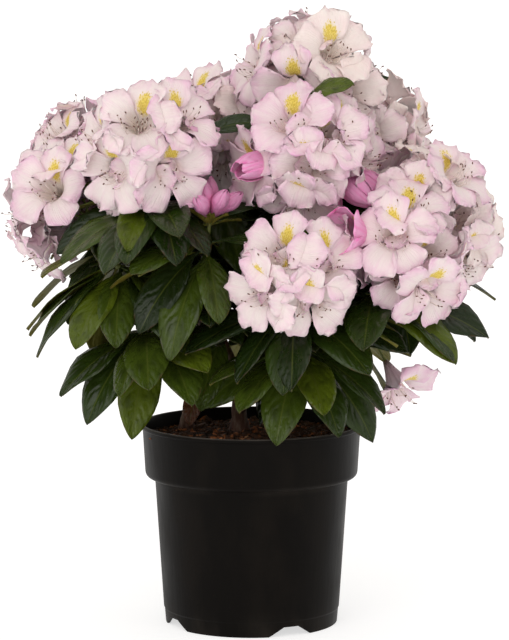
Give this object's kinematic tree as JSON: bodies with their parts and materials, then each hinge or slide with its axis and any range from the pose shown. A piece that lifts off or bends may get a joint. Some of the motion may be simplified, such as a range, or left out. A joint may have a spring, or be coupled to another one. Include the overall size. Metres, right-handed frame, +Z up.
{
  "type": "potted rhododendron",
  "caption": "Garden shrub in flower: heads of pale pink funnel-shaped flowers over whorls of leathery leaves, on forking stems in a round black plastic pot.",
  "frame": {"origin": "centre of the flat pad under the pot, on the surface that the pot stands on", "axes": "+Z up along the pot's axis, -Y towards the viewer of the picture, +X to the viewer's right"},
  "size_m": [0.4941, 0.4189, 0.6087],
  "materials": {
    "pot_plastic": "satin, near black",
    "compost": "rough, damp bark compost",
    "bark": "rough reddish-brown bark",
    "leaf": "leathery, glossy above, dull below",
    "petal": "soft and thin, with a slight sheen"
  },
  "bodies": {
    "root": {"bough_back_left": "bark", "bough_back_middle": "bark", "bough_back_right": "bark", "bough_buds": "bark", "bough_front": "bark", "bough_left_back": "bark", "bough_left_behind": "bark", "bough_left_front": "bark", "bough_left_outer": "bark", "bough_middle": "bark", "bough_right_front": "bark", "bough_right_low": "bark", "bough_right_middle": "bark", "bough_right_outer": "bark", "bough_right_upper": "bark", "bough_top": "bark", "leaves_back_left": "leaf", "leaves_back_middle": "leaf", "leaves_back_right": "leaf", "leaves_buds": "leaf", "leaves_front": "leaf", "leaves_left_back": "leaf", "leaves_left_behind": "leaf", "leaves_left_front": "leaf", "leaves_left_outer": "leaf", "leaves_low_back": "leaf", "leaves_low_front": "leaf", "leaves_low_inner": "leaf", "leaves_low_left": "leaf", "leaves_middle": "leaf", "leaves_right_front": "leaf", "leaves_right_low": "leaf", "leaves_right_middle": "leaf", "leaves_right_outer": "leaf", "leaves_right_upper": "leaf", "leaves_top": "leaf", "main_stem": "bark", "pot": "pot_plastic", "side_stem": "bark", "soil": "compost", "truss_back_left": "petal", "truss_back_middle": "petal", "truss_back_right": "petal", "truss_buds": "petal", "truss_front": "petal", "truss_left_back": "petal", "truss_left_behind": "petal", "truss_left_front": "petal", "truss_left_outer": "petal", "truss_middle": "petal", "truss_right_front": "petal", "truss_right_low": "petal", "truss_right_middle": "petal", "truss_right_outer": "petal", "truss_right_upper": "petal", "truss_top": "petal"}
  },
  "joints": []
}
